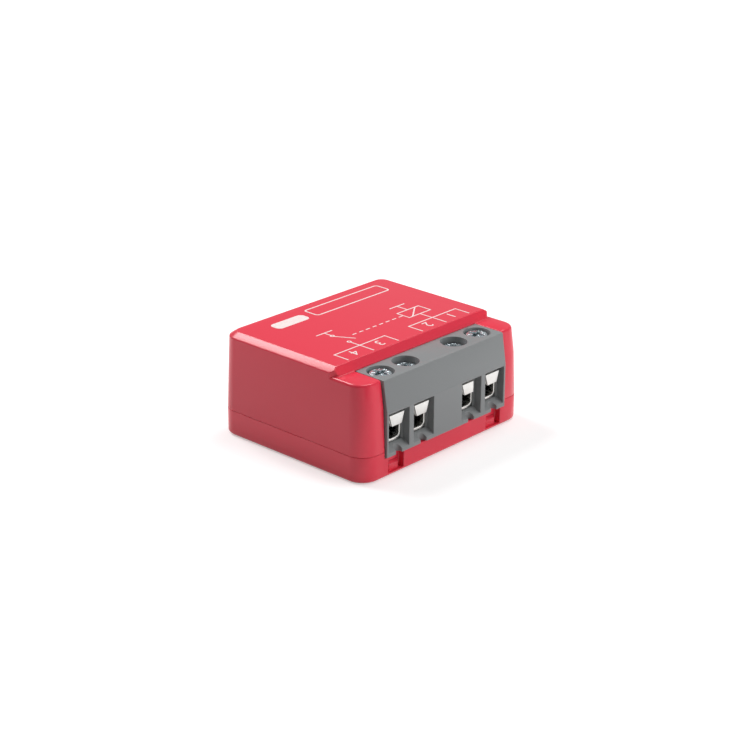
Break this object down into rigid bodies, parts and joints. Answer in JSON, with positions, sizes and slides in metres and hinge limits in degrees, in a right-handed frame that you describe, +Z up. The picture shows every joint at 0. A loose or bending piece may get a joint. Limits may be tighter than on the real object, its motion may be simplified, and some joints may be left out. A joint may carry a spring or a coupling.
{
  "type": "smart relay module",
  "caption": "Small in-wall smart relay in a two-part moulded case with a stepped roof, a screw terminal block with rising-cage clamps, and a board with relay, supply and radio.",
  "frame": {"origin": "centre of the module's box, on the plane of its underside", "axes": "+X along the row of terminals, -Y out of the wire windows, +Z up through the printed roof"},
  "size_m": [0.034, 0.0286, 0.0155],
  "materials": {
    "case_red": "satin moulded polycarbonate, fine spark texture",
    "block_grey": "matt moulded polyamide",
    "screw_zinc": "blue zinc plating",
    "clamp_nickel": "bright nickel plating",
    "board_green": "solder mask on glass laminate",
    "radio_blue": "solder mask on glass laminate",
    "relay_black": "moulded polyester",
    "relay_iron": "plain soft iron",
    "bobbin_white": "moulded polyester",
    "winding_copper": "enamelled copper wire",
    "contact_bronze": "bronze strip with silver contact",
    "pin_tin": "tin plating",
    "capacitor_sleeve": "shrunk sleeve on an aluminium can",
    "ferrite": "sintered ferrite",
    "varistor_blue": "epoxy dip",
    "resistor_tan": "lacquer",
    "chip_black": "moulded epoxy",
    "shunt_metal": "rolled resistance alloy",
    "shield_tin": "tin-plated sheet",
    "antenna_copper": "copper track",
    "header_gold": "gold flash",
    "button_red": "translucent moulded plastic",
    "led_clear": "clear epoxy"
  },
  "bodies": {
    "root": {"base_cover": "case_red", "upper_housing": "case_red", "terminal_block": "block_grey", "contact_strips": "clamp_nickel", "main_board": "board_green", "relay_base": "relay_black", "relay_cover": "relay_black", "relay_yoke": "relay_iron", "relay_core": "relay_iron", "relay_bobbin": "bobbin_white", "relay_coil": "winding_copper", "relay_fixed_contact": "contact_bronze", "relay_pins": "pin_tin", "input_capacitor": "capacitor_sleeve", "output_capacitor": "capacitor_sleeve", "choke_core": "ferrite", "choke_winding": "winding_copper", "varistor": "varistor_blue", "fusible_resistor": "resistor_tan", "bridge_rectifier": "chip_black", "supply_chip": "chip_black", "metering_chip": "chip_black", "current_shunt": "shunt_metal", "radio_board": "radio_blue", "radio_shield": "shield_tin", "radio_antenna": "antenna_copper", "radio_pins": "header_gold", "tact_switch": "chip_black", "status_led": "led_clear"},
    "screw_1": {"terminal_screw_1": "screw_zinc"},
    "cage_1": {"clamp_cage_1": "clamp_nickel"},
    "screw_2": {"terminal_screw_2": "screw_zinc"},
    "cage_2": {"clamp_cage_2": "clamp_nickel"},
    "screw_3": {"terminal_screw_3": "screw_zinc"},
    "cage_3": {"clamp_cage_3": "clamp_nickel"},
    "screw_4": {"terminal_screw_4": "screw_zinc"},
    "cage_4": {"clamp_cage_4": "clamp_nickel"},
    "button": {"control_button": "button_red", "tact_plunger": "bobbin_white"},
    "armature": {"relay_armature": "relay_iron", "relay_contact_spring": "contact_bronze"}
  },
  "joints": [
    {"name": "screw_1_turn", "type": "hinge", "parent": "root", "child": "screw_1", "pos_m": [0.01016, -0.0107, 0.012], "axis": [0, 0, 1], "range_deg": [-1355, 0]},
    {"name": "cage_1_rise", "type": "slide", "parent": "root", "child": "cage_1", "axis": [0, 0, 1], "range_m": [0, 0.0015]},
    {"name": "screw_2_turn", "type": "hinge", "parent": "root", "child": "screw_2", "pos_m": [0.00508, -0.0107, 0.012], "axis": [0, 0, 1], "range_deg": [-1355, 0]},
    {"name": "cage_2_rise", "type": "slide", "parent": "root", "child": "cage_2", "axis": [0, 0, 1], "range_m": [0, 0.0015]},
    {"name": "screw_3_turn", "type": "hinge", "parent": "root", "child": "screw_3", "pos_m": [-0.00508, -0.0107, 0.012], "axis": [0, 0, 1], "range_deg": [-1355, 0]},
    {"name": "cage_3_rise", "type": "slide", "parent": "root", "child": "cage_3", "axis": [0, 0, 1], "range_m": [0, 0.0015]},
    {"name": "screw_4_turn", "type": "hinge", "parent": "root", "child": "screw_4", "pos_m": [-0.01016, -0.0107, 0.012], "axis": [0, 0, 1], "range_deg": [-1355, 0]},
    {"name": "cage_4_rise", "type": "slide", "parent": "root", "child": "cage_4", "axis": [0, 0, 1], "range_m": [0, 0.0015]},
    {"name": "button_press", "type": "slide", "parent": "root", "child": "button", "axis": [0, 0, 1], "range_m": [0, 0.0002], "stiffness_N_per_m": 1500},
    {"name": "armature_pull", "type": "hinge", "parent": "root", "child": "armature", "pos_m": [-0.0021, -0.00065, 0.0046], "axis": [0, -1, 0], "range_deg": [0, 3.5], "stiffness_Nm_per_rad": 0.005}
  ],
  "couplings": [
    {"joint": "screw_1_turn", "follows": "cage_1_rise", "rad_per_m": -15708},
    {"joint": "screw_2_turn", "follows": "cage_2_rise", "rad_per_m": -15708},
    {"joint": "screw_3_turn", "follows": "cage_3_rise", "rad_per_m": -15708},
    {"joint": "screw_4_turn", "follows": "cage_4_rise", "rad_per_m": -15708}
  ]
}
